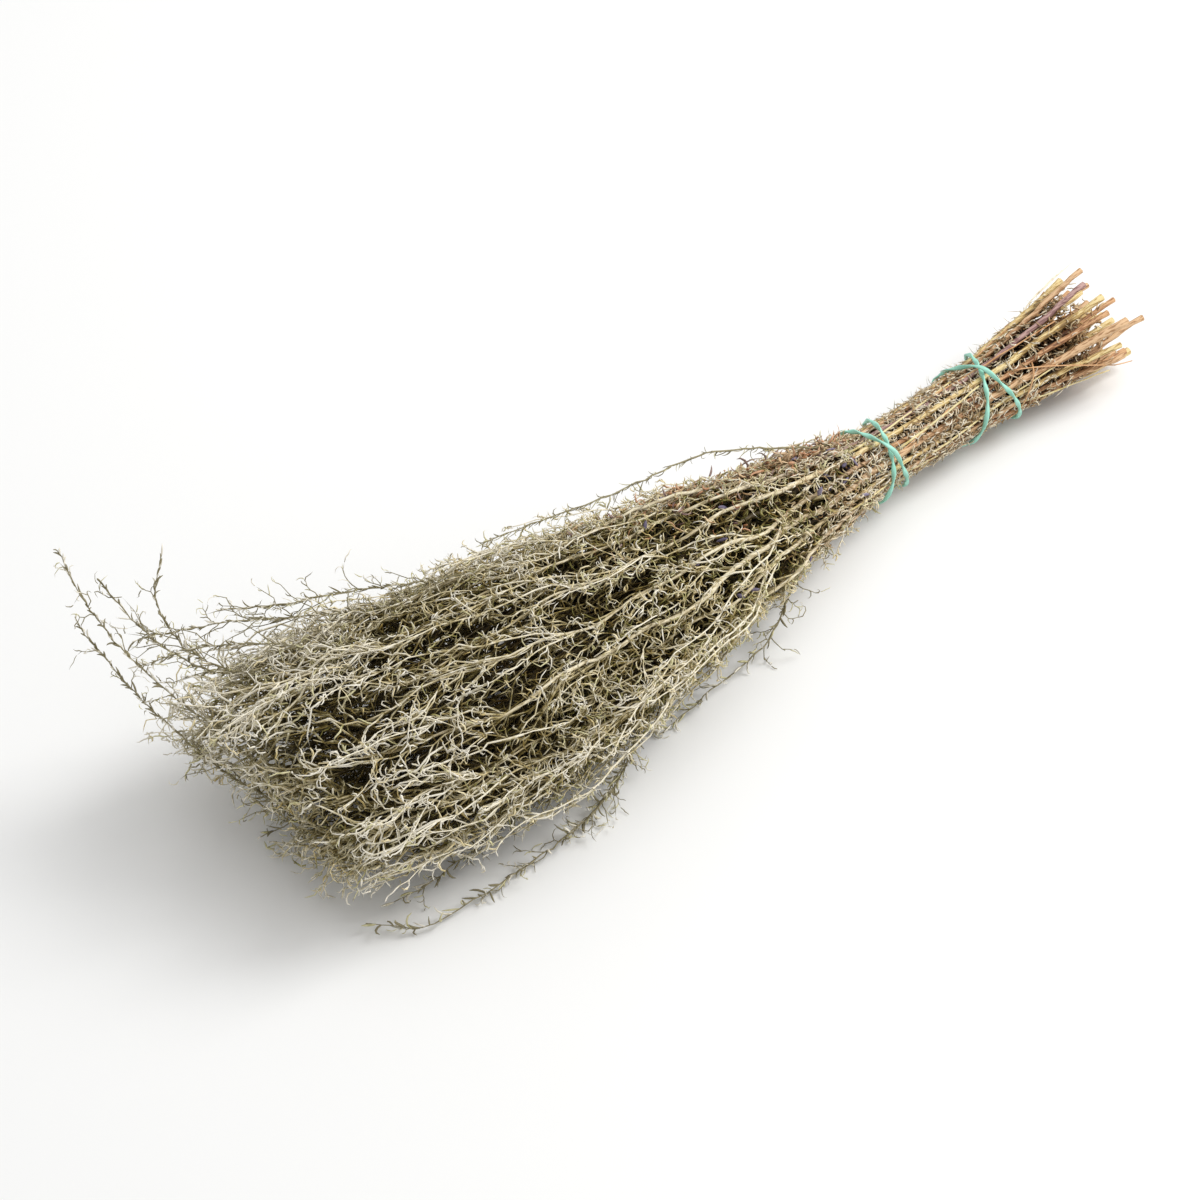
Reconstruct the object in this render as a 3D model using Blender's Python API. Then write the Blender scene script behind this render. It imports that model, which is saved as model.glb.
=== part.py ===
"""Bunch of dried wormwood, lying on its side on a table.

37 cut sprigs are held by two rubber bands, each wound twice round the stems. Every sprig is one grown
piece: a woody stem, and the branches that it carries, whose leafy ends are drawn as slender plumes.

Frame: +Z up, the bunch lies along X with its cut ends at +X and its tips at -X. The origin is on the
table, under the middle of the bunch's box. A station is a distance from the cut ends along the bunch.
"""

import math
import random
from collections import namedtuple

import bmesh
import bpy
import numpy as np

MM = 0.001

# The bunch's outline: station, half width, half height, and the middle's offset across the bunch and
# height above the table. The half sizes reach the middles of the outermost stems.
OUTLINE = np.array(
    [
        (-0.030, 0.0262, 0.0225, 0.0055, 0.0246),
        (0.000, 0.0225, 0.0195, 0.0045, 0.0230),
        (0.030, 0.0176, 0.0160, 0.0038, 0.0218),
        (0.066, 0.0126, 0.0122, 0.0028, 0.0206),
        (0.100, 0.0122, 0.0118, 0.0008, 0.0210),
        (0.130, 0.0113, 0.0110, -0.0005, 0.0222),
        (0.165, 0.0175, 0.0150, -0.0030, 0.0262),
        (0.220, 0.0290, 0.0215, -0.0070, 0.0310),
        (0.290, 0.0415, 0.0290, -0.0092, 0.0350),
        (0.345, 0.0500, 0.0335, -0.0098, 0.0370),
        (0.400, 0.0515, 0.0345, -0.0045, 0.0395),
        (0.430, 0.0520, 0.0350, -0.0010, 0.0415),
        (0.480, 0.0505, 0.0350, 0.0020, 0.0430),
    ]
)
CUT_END_X = 0.2264  # x of station 0, near the cut ends
MIDDLE_Y = -0.0053  # y from which the middle's offset is counted

# Stems stand in rings round one middle stem: how many, the ring's share of the half width, its turn at
# the cut ends and how far it turns along the whole bunch, in degrees.
RINGS = ((1, 0.0, 0, 0), (6, 0.333, 10, -20), (12, 0.667, 0, 24), (18, 1.0, 7, -16))
STEM_END_STATION = 0.420
BRANCH_END_STATION = 0.460
SPLAY_STATION = 0.055  # before this station each stem splays out, or in, by its own amount
LONG_STEMS = {14: -0.0125}  # sprigs that were cut longer than the rest, and where
STEM_CUT_RADIUS = 1.50 * MM
STEM_TIP_RADIUS = 0.5 * MM
LEAFY_TOP_RADIUS = 1.5 * MM
STEM_POINTS = 14
BRANCHES_PER_SPRIG = 6
BRANCH_ATTEMPTS = 36
BRANCH_POINTS = 5
STEM_BEVEL = 1  # a tube of 6 sides
BRANCH_BEVEL = 0  # a tube of 4 sides
BRANCH_RADIUS = 0.6 * MM
PLUME_RADIUS = 1.7 * MM
SPRAY_RADIUS = 1.0 * MM
CLEARANCE = 0.3 * MM  # between one sprig and the next

# Rubber bands: the station where the two turns cross, how far they stray to either side of it, and how
# many degrees round the bunch they cross, from +Y up over the top.
BANDS = (("rubber_band_cut_end", 0.073, 0.0150, 98), ("rubber_band_head", 0.1335, 0.0105, 128))
BAND_RADIUS = 1.0 * MM
BAND_POINTS = 56

# Long sprays that stray from the head: points in millimetres in the frame of the cut ends, where x is
# minus the station and y is measured from the middle line.
STRAY_SPRAYS = (
    ((-418, 4, 44), (-440, 22, 55), (-453, 48, 71), (-461, 68, 92), (-465, 82, 118)),
    ((-424, -14, 30), (-440, 10, 34), (-448, 38, 42), (-456, 62, 58), (-462, 83, 79)),
    ((-424, 36, 62), (-438, 50, 69), (-446, 65, 80), (-452, 77, 97)),
    ((-412, 20, 68), (-430, 36, 70), (-439, 49, 80), (-438, 62, 94), (-431, 67, 105)),
    ((-401, -10, 22), (-414, -4, 14), (-424, 2, 8), (-437, 7, 4)),
    ((-300, -54, 26), (-320, -61, 8), (-344, -65, 4), (-371, -67, 3), (-414, -66, 3), (-431, -51, 4)),
    ((-286, -47, 22), (-310, -54, 8), (-328, -62, 4), (-350, -66, 3)),
    ((-196, -27, 22), (-219, -38, 8), (-239, -42, 5), (-262, -44, 4), (-285, -48, 3)),
    ((-180, 10, 50), (-215, 12, 66), (-250, 9, 75), (-289, 10, 81), (-325, 13, 86)),
    ((-350, 26, 70), (-379, 34, 76), (-402, 41, 80), (-420, 48, 84)),
    ((-347, -48, 12), (-376, -50, 7), (-402, -52, 5), (-418, -50, 4)),
    ((-384, -30, 18), (-412, -30, 12), (-427, -36, 7), (-424, -46, 4)),
    ((-372, 34, 62), (-398, 44, 68), (-424, 54, 73), (-449, 63, 75)),
    ((-388, 14, 70), (-414, 28, 78), (-436, 40, 80), (-456, 50, 76)),
)

Stem = namedtuple("Stem", "share angle turn splay cut tip wander thick")
Shoot = namedtuple("Shoot", "points radii")


def outline(station, reach=0.02):
    """Half width, half height, middle y and middle z at a station, averaged over a short reach."""
    near = station + reach * np.array([-1, -0.5, 0, 0.5, 1])
    sizes = [np.interp(near, OUTLINE[:, 0], OUTLINE[:, column]).mean() for column in (1, 2, 3, 4)]
    return np.array(sizes) + (0, 0, MIDDLE_Y, 0)


def stem_point(stem, station):
    """Where the middle of a stem is at a station."""
    along = station / STEM_END_STATION
    angle = stem.angle + stem.turn * along
    loose = max(0.0, along - 0.33) * 0.16 + max(0.0, 0.12 - along) * 0.25
    sway, lift = (loose * math.sin(2 * math.pi * (1.3 * along + phase)) for phase in stem.wander)
    share = stem.share * (1 + stem.splay * max(0.0, 1 - station / SPLAY_STATION))
    half_width, half_height, middle_y, middle_z = outline(station)
    across = half_width * (share * math.cos(angle) + sway)
    up = half_height * (share * math.sin(angle) + lift)
    return np.array([CUT_END_X - station, middle_y + across, middle_z + up])


def stem_radius(stem, station):
    """A stem thins from its cut end, and swells once more where its top is leafy."""
    along = (station - stem.cut) / (stem.tip - stem.cut)
    bare = STEM_CUT_RADIUS + (STEM_TIP_RADIUS - STEM_CUT_RADIUS) * along
    leafy = (LEAFY_TOP_RADIUS - STEM_TIP_RADIUS) * max(0.0, 1 - abs(along - 0.88) / 0.10)
    return stem.thick * (bare + leafy)


def make_stems(rng):
    """The sprigs' stems, ring by ring from the middle out."""
    stems = []
    for count, share, start, turn in RINGS:
        for place in range(count):
            angle = math.radians(start) + 2 * math.pi * (place + rng.uniform(-0.05, 0.05)) / count
            stems.append(
                Stem(
                    share=share + rng.uniform(-0.02, 0.02),
                    angle=angle,
                    turn=math.radians(turn),
                    splay=rng.uniform(-0.10, 0.16),
                    cut=LONG_STEMS.get(len(stems) + 1, rng.triangular(-0.010, 0.014, 0.000)),
                    tip=STEM_END_STATION + rng.uniform(-0.030, 0.020),
                    wander=(rng.random(), rng.random()),
                    thick=rng.uniform(0.80, 1.08),
                )
            )
    return stems


def stem_shoot(stem):
    stations = np.linspace(stem.cut, stem.tip, STEM_POINTS)
    points = np.array([stem_point(stem, station) for station in stations])
    radii = np.array([stem_radius(stem, station) for station in stations])
    return Shoot(points, radii)


def curve_through(corners, count):
    """A smooth path of count points through the corners."""
    corners = np.asarray(corners, float)
    ends = np.vstack([2 * corners[0] - corners[1], corners, 2 * corners[-1] - corners[-2]])
    path = []
    for place in np.linspace(0, len(corners) - 1 - 1e-9, count):
        span, t = int(place), place % 1
        before, start, end, after = ends[span : span + 4]
        path.append(
            start
            + 0.5 * t * (end - before)
            + t * t * (before - 2.5 * start + 2 * end - 0.5 * after)
            + 0.5 * t**3 * (3 * start - before - 3 * end + after)
        )
    return np.array(path)


def gaps(start, end, starts, ends):
    """The shortest distances between one straight stretch and many others."""
    along, others, between = end - start, ends - starts, start - starts
    a, e = along @ along, (others * others).sum(axis=1)
    b, c, f = others @ along, between @ along, (others * between).sum(axis=1)
    s = np.clip((b * f - c * e) / np.maximum(a * e - b * b, 1e-18), 0, 1)
    t = np.clip((b * s + f) / e, 0, 1)
    s = np.clip((b * t - c) / a, 0, 1)
    nearest = between + s[:, None] * along - t[:, None] * others
    return np.linalg.norm(nearest, axis=1)


class Thicket:
    """The stretches of stem and branch that are already in place, and which sprig each belongs to."""

    def __init__(self):
        self.starts, self.ends = np.empty((0, 3)), np.empty((0, 3))
        self.radii, self.owners = np.empty(0), np.empty(0, int)

    def add(self, owner, shoot):
        thick = np.maximum(shoot.radii[:-1], shoot.radii[1:])
        self.starts = np.vstack([self.starts, shoot.points[:-1]])
        self.ends = np.vstack([self.ends, shoot.points[1:]])
        self.radii = np.append(self.radii, thick)
        self.owners = np.append(self.owners, np.full(len(thick), owner))

    def room_for(self, owner, shoot):
        """The least room between a shoot and every sprig but its own; below zero they overlap."""
        other = self.owners != owner
        thick = np.maximum(shoot.radii[:-1], shoot.radii[1:])
        return min(
            (gaps(start, end, self.starts[other], self.ends[other]) - self.radii[other]).min() - radius
            for start, end, radius in zip(shoot.points[:-1], shoot.points[1:], thick)
        )


def inside_head(point):
    """True where a branch may end: inside the head's leafy outline, and above the table."""
    station = CUT_END_X - point[0]
    half_width, half_height, middle_y, middle_z = outline(station)
    across = (point[1] - middle_y) / (half_width * 1.22 + 3 * MM)
    up = (point[2] - middle_z) / (half_height * 1.22 + 2 * MM)
    return across**2 + up**2 < 1 and point[2] > PLUME_RADIUS


def branch_shoot(stem, station, rng):
    """One branch that leaves its stem at a station, swings out and then runs beside it."""
    length = rng.uniform(0.070, 0.125)
    reach = length * math.tan(math.radians(rng.uniform(9, 21)))
    side = rng.uniform(0, 2 * math.pi)
    end = min(station + length, BRANCH_END_STATION)
    points = []
    for share in np.linspace(0, 1, BRANCH_POINTS):
        swing = reach * (1 - (1 - share) ** 1.7)
        middle = stem_point(stem, station + (end - station) * share)
        points.append(middle + swing * np.array([0, math.cos(side), math.sin(side)]))
    radii = np.interp(
        np.linspace(0, 1, BRANCH_POINTS),
        (0, 0.3, 0.6, 1),
        (BRANCH_RADIUS, BRANCH_RADIUS, PLUME_RADIUS, BRANCH_RADIUS),
    )
    return Shoot(np.array(points), radii)


def spray_shoot(stem, corners):
    """A long spray: it leaves its stem and passes the corners one after another."""
    corners = np.array(corners) * MM + (CUT_END_X, MIDDLE_Y, 0)
    leaves_at = CUT_END_X - corners[0][0] - 0.030
    points = curve_through([stem_point(stem, leaves_at), *corners], 2 * len(corners) + 1)
    radii = np.interp(
        np.linspace(0, 1, len(points)), (0, 0.5, 1), (BRANCH_RADIUS, SPRAY_RADIUS, 0.5 * MM)
    )
    return Shoot(points, radii)


def grow_sprays(stems, thicket, sprigs):
    """Gives each stray spray to the nearest stem that it can reach with room to spare."""
    for corners in STRAY_SPRAYS:
        start = np.array(corners[0]) * MM + (CUT_END_X, MIDDLE_Y, 0)
        station = CUT_END_X - start[0] - 0.030
        nearest = sorted(
            range(len(stems)), key=lambda index: np.linalg.norm(stem_point(stems[index], station) - start)
        )
        for index in nearest[:8]:
            shoot = spray_shoot(stems[index], corners)
            if stems[index].tip > station + 0.005 and thicket.room_for(index, shoot) > CLEARANCE:
                thicket.add(index, shoot)
                sprigs[index].append(shoot)
                break


def grow_branches(stems, thicket, sprigs, rng):
    """Gives every stem its branches, so that each one just clears the nearest other sprig."""
    for number in range(BRANCHES_PER_SPRIG):
        for index, stem in enumerate(stems):
            first, last = 0.185, stem.tip - 0.075
            found = []
            for attempt in range(BRANCH_ATTEMPTS):
                station = first + (last - first) * (number + rng.random()) / BRANCHES_PER_SPRIG
                shoot = branch_shoot(stem, station, rng)
                if all(inside_head(point) for point in shoot.points[2:]):
                    found.append((thicket.room_for(index, shoot), attempt, shoot))
            fitting = sorted(choice for choice in found if choice[0] > CLEARANCE)
            if fitting:
                thicket.add(index, fitting[0][2])
                sprigs[index].append(fitting[0][2])


def band_path(station, stray, crossing):
    """The middle line of a rubber band wound twice round the stems, its turns crossing once."""
    path = []
    for turn in np.linspace(0, 4 * math.pi, BAND_POINTS, endpoint=False):
        place = station + stray * math.sin(turn / 2)
        half_width, half_height, middle_y, middle_z = outline(place)
        over = math.exp(-((turn - 2 * math.pi) / 0.35) ** 2)
        out = STEM_CUT_RADIUS + BAND_RADIUS + CLEARANCE + 2.6 * BAND_RADIUS * over
        angle = math.radians(crossing) + turn
        path.append(
            (
                CUT_END_X - place,
                middle_y + (half_width * 1.02 + out) * math.cos(angle),
                middle_z + (half_height * 1.02 + out) * math.sin(angle),
            )
        )
    return np.array(path)


def material(name, colour, roughness):
    made = bpy.data.materials.new(name)
    made.use_nodes = True
    shader = made.node_tree.nodes["Principled BSDF"]
    shader.inputs["Base Color"].default_value = (*colour, 1)
    shader.inputs["Roughness"].default_value = roughness
    shader.inputs["Metallic"].default_value = 0
    return made


def tube(name, points, radii, resolution, closed=False):
    """A curve object of round section with a radius at each point."""
    data = bpy.data.curves.new(name, "CURVE")
    data.dimensions = "3D"
    data.bevel_depth = 1.0
    data.bevel_resolution = resolution
    data.use_fill_caps = not closed
    spline = data.splines.new("POLY")
    spline.points.add(len(points) - 1)
    spline.points.foreach_set("co", np.column_stack([points, np.ones(len(points))]).ravel())
    spline.points.foreach_set("radius", np.broadcast_to(radii, len(points)).astype(float))
    spline.use_cyclic_u = closed
    return bpy.data.objects.new(name, data)


def as_mesh(curve, data, collection, look):
    """A welded mesh object in the place of a curve object, from the curve's evaluated mesh."""
    shape = bmesh.new()
    shape.from_mesh(data)
    bmesh.ops.remove_doubles(shape, verts=shape.verts, dist=0.01 * MM)
    bmesh.ops.recalc_face_normals(shape, faces=shape.faces)
    shape.to_mesh(data)
    shape.free()
    data.materials.clear()
    data.materials.append(look)
    data.shade_smooth()
    data.set_sharp_from_angle(angle=math.radians(50))
    name = curve.name
    matrix = curve.matrix_world.copy()
    bpy.data.objects.remove(curve)
    made = bpy.data.objects.new(name, data)
    made.matrix_world = matrix
    collection.objects.link(made)
    return made


def meshes_from(curves, collection, look):
    """Mesh objects in the place of curve objects."""
    for curve in curves:
        collection.objects.link(curve)
    graph = bpy.context.evaluated_depsgraph_get()
    evaluated = [bpy.data.meshes.new_from_object(curve.evaluated_get(graph)) for curve in curves]
    return [as_mesh(curve, data, collection, look) for curve, data in zip(curves, evaluated)]


def join_branches(sprig, branches, helpers):
    """Joins a sprig's branches to its stem."""
    own = bpy.data.collections.new(f"{sprig.name}_branches")
    helpers.children.link(own)
    for branch in branches:
        helpers.objects.unlink(branch)
        own.objects.link(branch)
        branch.hide_render = True
        branch.display_type = "WIRE"
    join = sprig.modifiers.new("branches", "BOOLEAN")
    join.operation = "UNION"
    join.operand_type = "COLLECTION"
    join.collection = own


def main():
    for old in list(bpy.data.objects):
        bpy.data.objects.remove(old)
    bunch = bpy.data.collections.new("wormwood_bunch")
    helpers = bpy.data.collections.new("branch_helpers")
    for collection in (bunch, helpers):
        bpy.context.scene.collection.children.link(collection)
    helpers.hide_render = True

    rng = random.Random(11)
    stems = make_stems(rng)
    sprigs = [[stem_shoot(stem)] for stem in stems]
    thicket = Thicket()
    for index, shoots in enumerate(sprigs):
        thicket.add(index, shoots[0])
    for order, (_, *wound) in enumerate(BANDS):
        path = band_path(*wound)
        thicket.add(len(stems) + order, Shoot(path, np.full(len(path), BAND_RADIUS)))
    grow_sprays(stems, thicket, sprigs)
    grow_branches(stems, thicket, sprigs, rng)

    wood = material("dry_wormwood", (0.50, 0.45, 0.34), 0.85)
    rubber = material("mint_rubber", (0.36, 0.72, 0.60), 0.45)
    bodies = meshes_from(
        [
            tube(f"sprig_{number:02d}", shoots[0].points, shoots[0].radii, STEM_BEVEL)
            for number, shoots in enumerate(sprigs, 1)
        ],
        bunch,
        wood,
    )
    for sprig, shoots in zip(bodies, sprigs):
        curves = [
            tube(f"{sprig.name}_branch_{order}", shoot.points, shoot.radii, BRANCH_BEVEL)
            for order, shoot in enumerate(shoots[1:], 1)
        ]
        join_branches(sprig, meshes_from(curves, helpers, wood), helpers)
    meshes_from(
        [
            tube(name, band_path(*wound), BAND_RADIUS, STEM_BEVEL, closed=True)
            for name, *wound in BANDS
        ],
        bunch,
        rubber,
    )


main()
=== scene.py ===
"""The looks of a bunch of dried wormwood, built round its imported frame.

Lengths are in metres. The bunch lies along X with its cut ends at +X. A station is a distance from the
cut ends along the bunch. The sprigs grow by the same rules, in the same order, as the frame's solids.
"""

import math
import random
from collections import namedtuple

import bmesh
import bpy
import numpy as np
from mathutils.bvhtree import BVHTree
from mathutils.kdtree import KDTree
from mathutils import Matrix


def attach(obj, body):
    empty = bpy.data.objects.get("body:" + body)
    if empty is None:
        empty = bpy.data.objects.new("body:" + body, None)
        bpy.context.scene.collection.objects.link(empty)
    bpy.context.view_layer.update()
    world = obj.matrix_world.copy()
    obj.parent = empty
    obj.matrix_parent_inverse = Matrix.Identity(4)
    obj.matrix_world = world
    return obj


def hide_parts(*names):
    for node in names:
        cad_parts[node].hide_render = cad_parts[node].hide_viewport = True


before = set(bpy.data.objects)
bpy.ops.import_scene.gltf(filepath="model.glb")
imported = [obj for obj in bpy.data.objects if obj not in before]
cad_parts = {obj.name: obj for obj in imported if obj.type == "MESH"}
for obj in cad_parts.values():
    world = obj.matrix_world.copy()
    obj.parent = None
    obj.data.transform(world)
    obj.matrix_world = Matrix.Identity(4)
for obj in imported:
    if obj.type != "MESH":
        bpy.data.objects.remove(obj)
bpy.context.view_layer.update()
MM = 0.001
FULL_TURN = 2 * math.pi


# --- Stems ---
# Each sprig has one woody stem, cut with shears near the root. The stems are pressed together where
# they are tied, splay a little at their cut ends, and fan out into the head.

OUTLINE = np.array(  # station, half width, half height, middle offset and height
    [
        (-0.030, 0.0262, 0.0225, 0.0055, 0.0246),
        (0.000, 0.0225, 0.0195, 0.0045, 0.0230),
        (0.030, 0.0176, 0.0160, 0.0038, 0.0218),
        (0.066, 0.0126, 0.0122, 0.0028, 0.0206),
        (0.100, 0.0122, 0.0118, 0.0008, 0.0210),
        (0.130, 0.0113, 0.0110, -0.0005, 0.0222),
        (0.165, 0.0175, 0.0150, -0.0030, 0.0262),
        (0.220, 0.0290, 0.0215, -0.0070, 0.0310),
        (0.290, 0.0415, 0.0290, -0.0092, 0.0350),
        (0.345, 0.0500, 0.0335, -0.0098, 0.0370),
        (0.400, 0.0515, 0.0345, -0.0045, 0.0395),
        (0.430, 0.0520, 0.0350, -0.0010, 0.0415),
        (0.480, 0.0505, 0.0350, 0.0020, 0.0430),
    ]
)
CUT_END_X = 0.2264
MIDDLE_Y = -0.0053
RINGS = ((1, 0.0, 0, 0), (6, 0.333, 10, -20), (12, 0.667, 0, 24), (18, 1.0, 7, -16))
STEM_END_STATION = 0.420
SPLAY_STATION = 0.055
LONG_STEMS = {14: -0.0125}
STEM_CUT_RADIUS = 1.50 * MM
STEM_TIP_RADIUS = 0.5 * MM
LEAFY_TOP_RADIUS = 1.5 * MM
STEM_POINTS = 14

Stem = namedtuple("Stem", "share angle turn splay cut tip wander thick")
Shoot = namedtuple("Shoot", "points radii")


def outline(station, reach=0.02):
    """Half width, half height, middle y and middle z at a station, averaged over a short reach."""
    near = station + reach * np.array([-1, -0.5, 0, 0.5, 1])
    sizes = [np.interp(near, OUTLINE[:, 0], OUTLINE[:, column]).mean() for column in (1, 2, 3, 4)]
    return np.array(sizes) + (0, 0, MIDDLE_Y, 0)


def stem_point(stem, station):
    """Where the middle of a stem is at a station."""
    along = station / STEM_END_STATION
    angle = stem.angle + stem.turn * along
    loose = max(0.0, along - 0.33) * 0.16 + max(0.0, 0.12 - along) * 0.25
    sway, lift = (loose * math.sin(FULL_TURN * (1.3 * along + phase)) for phase in stem.wander)
    share = stem.share * (1 + stem.splay * max(0.0, 1 - station / SPLAY_STATION))
    half_width, half_height, middle_y, middle_z = outline(station)
    across = half_width * (share * math.cos(angle) + sway)
    up = half_height * (share * math.sin(angle) + lift)
    return np.array([CUT_END_X - station, middle_y + across, middle_z + up])


def make_stems(rng):
    stems = []
    for count, share, start, turn in RINGS:
        for place in range(count):
            angle = math.radians(start) + FULL_TURN * (place + rng.uniform(-0.05, 0.05)) / count
            stems.append(
                Stem(
                    share=share + rng.uniform(-0.02, 0.02),
                    angle=angle,
                    turn=math.radians(turn),
                    splay=rng.uniform(-0.10, 0.16),
                    cut=LONG_STEMS.get(len(stems) + 1, rng.triangular(-0.010, 0.014, 0.000)),
                    tip=STEM_END_STATION + rng.uniform(-0.030, 0.020),
                    wander=(rng.random(), rng.random()),
                    thick=rng.uniform(0.80, 1.08),
                )
            )
    return stems


def stem_shoot(stem):
    stations = np.linspace(stem.cut, stem.tip, STEM_POINTS)
    along = (stations - stem.cut) / (stem.tip - stem.cut)
    bare = STEM_CUT_RADIUS + (STEM_TIP_RADIUS - STEM_CUT_RADIUS) * along
    leafy = (LEAFY_TOP_RADIUS - STEM_TIP_RADIUS) * np.maximum(0.0, 1 - abs(along - 0.88) / 0.10)
    points = np.array([stem_point(stem, station) for station in stations])
    return Shoot(points, stem.thick * (bare + leafy))


rng = random.Random(11)
stems = make_stems(rng)
sprigs = [[stem_shoot(stem)] for stem in stems]


# --- Branches ---
# Leafy side shoots, grown on the stems. Most stay inside the head, each just clear of the next sprig;
# a few long sprays stray from it, up past its tip or out along the table.

BRANCHES_PER_SPRIG = 6
BRANCH_END_STATION = 0.460
BRANCH_ATTEMPTS = 36
BRANCH_POINTS = 5
BRANCH_RADIUS = 0.6 * MM
PLUME_RADIUS = 1.7 * MM
SPRAY_RADIUS = 1.0 * MM
CLEARANCE = 0.3 * MM
BAND_RADIUS = 1.0 * MM
BANDS = (("rubber_band_cut_end", 0.073, 0.0150, 98), ("rubber_band_head", 0.1335, 0.0105, 128))
BAND_POINTS = 56
STRAY_SPRAYS = (  # millimetres: minus the station, offset from the middle line, height
    ((-418, 4, 44), (-440, 22, 55), (-453, 48, 71), (-461, 68, 92), (-465, 82, 118)),
    ((-424, -14, 30), (-440, 10, 34), (-448, 38, 42), (-456, 62, 58), (-462, 83, 79)),
    ((-424, 36, 62), (-438, 50, 69), (-446, 65, 80), (-452, 77, 97)),
    ((-412, 20, 68), (-430, 36, 70), (-439, 49, 80), (-438, 62, 94), (-431, 67, 105)),
    ((-401, -10, 22), (-414, -4, 14), (-424, 2, 8), (-437, 7, 4)),
    ((-300, -54, 26), (-320, -61, 8), (-344, -65, 4), (-371, -67, 3), (-414, -66, 3), (-431, -51, 4)),
    ((-286, -47, 22), (-310, -54, 8), (-328, -62, 4), (-350, -66, 3)),
    ((-196, -27, 22), (-219, -38, 8), (-239, -42, 5), (-262, -44, 4), (-285, -48, 3)),
    ((-180, 10, 50), (-215, 12, 66), (-250, 9, 75), (-289, 10, 81), (-325, 13, 86)),
    ((-350, 26, 70), (-379, 34, 76), (-402, 41, 80), (-420, 48, 84)),
    ((-347, -48, 12), (-376, -50, 7), (-402, -52, 5), (-418, -50, 4)),
    ((-384, -30, 18), (-412, -30, 12), (-427, -36, 7), (-424, -46, 4)),
    ((-372, 34, 62), (-398, 44, 68), (-424, 54, 73), (-449, 63, 75)),
    ((-388, 14, 70), (-414, 28, 78), (-436, 40, 80), (-456, 50, 76)),
)


def curve_through(corners, count):
    """A smooth path of count points through the corners."""
    corners = np.asarray(corners, float)
    ends = np.vstack([2 * corners[0] - corners[1], corners, 2 * corners[-1] - corners[-2]])
    path = []
    for place in np.linspace(0, len(corners) - 1 - 1e-9, count):
        span, t = int(place), place % 1
        before, start, end, after = ends[span : span + 4]
        path.append(
            start
            + 0.5 * t * (end - before)
            + t * t * (before - 2.5 * start + 2 * end - 0.5 * after)
            + 0.5 * t**3 * (3 * start - before - 3 * end + after)
        )
    return np.array(path)


def gaps(start, end, starts, ends):
    """The shortest distances between one straight stretch and many others."""
    along, others, between = end - start, ends - starts, start - starts
    a, e = along @ along, (others * others).sum(axis=1)
    b, c, f = others @ along, between @ along, (others * between).sum(axis=1)
    s = np.clip((b * f - c * e) / np.maximum(a * e - b * b, 1e-18), 0, 1)
    t = np.clip((b * s + f) / e, 0, 1)
    s = np.clip((b * t - c) / a, 0, 1)
    nearest = between + s[:, None] * along - t[:, None] * others
    return np.linalg.norm(nearest, axis=1)


class Thicket:
    """The stretches of stem and branch that are already in place, and which sprig each belongs to."""

    def __init__(self):
        self.starts, self.ends = np.empty((0, 3)), np.empty((0, 3))
        self.radii, self.owners = np.empty(0), np.empty(0, int)

    def add(self, owner, shoot):
        thick = np.maximum(shoot.radii[:-1], shoot.radii[1:])
        self.starts = np.vstack([self.starts, shoot.points[:-1]])
        self.ends = np.vstack([self.ends, shoot.points[1:]])
        self.radii = np.append(self.radii, thick)
        self.owners = np.append(self.owners, np.full(len(thick), owner))

    def room_for(self, owner, shoot):
        """The least room between a shoot and every sprig but its own; below zero they overlap."""
        other = self.owners != owner
        thick = np.maximum(shoot.radii[:-1], shoot.radii[1:])
        return min(
            (gaps(start, end, self.starts[other], self.ends[other]) - self.radii[other]).min() - radius
            for start, end, radius in zip(shoot.points[:-1], shoot.points[1:], thick)
        )


def inside_head(point):
    """True where a branch may end: inside the head's leafy outline, and above the table."""
    station = CUT_END_X - point[0]
    half_width, half_height, middle_y, middle_z = outline(station)
    across = (point[1] - middle_y) / (half_width * 1.22 + 3 * MM)
    up = (point[2] - middle_z) / (half_height * 1.22 + 2 * MM)
    return across**2 + up**2 < 1 and point[2] > PLUME_RADIUS


def branch_shoot(stem, station, rng):
    """One branch that leaves its stem at a station, swings out and then runs beside it."""
    length = rng.uniform(0.070, 0.125)
    reach = length * math.tan(math.radians(rng.uniform(9, 21)))
    side = rng.uniform(0, FULL_TURN)
    end = min(station + length, BRANCH_END_STATION)
    points = []
    for share in np.linspace(0, 1, BRANCH_POINTS):
        swing = reach * (1 - (1 - share) ** 1.7)
        middle = stem_point(stem, station + (end - station) * share)
        points.append(middle + swing * np.array([0, math.cos(side), math.sin(side)]))
    radii = np.interp(
        np.linspace(0, 1, BRANCH_POINTS),
        (0, 0.3, 0.6, 1),
        (BRANCH_RADIUS, BRANCH_RADIUS, PLUME_RADIUS, BRANCH_RADIUS),
    )
    return Shoot(np.array(points), radii)


def spray_shoot(stem, corners):
    """A long spray: it leaves its stem and passes the corners one after another."""
    corners = np.array(corners) * MM + (CUT_END_X, MIDDLE_Y, 0)
    leaves_at = CUT_END_X - corners[0][0] - 0.030
    points = curve_through([stem_point(stem, leaves_at), *corners], 2 * len(corners) + 1)
    radii = np.interp(
        np.linspace(0, 1, len(points)), (0, 0.5, 1), (BRANCH_RADIUS, SPRAY_RADIUS, 0.5 * MM)
    )
    return Shoot(points, radii)


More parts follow.
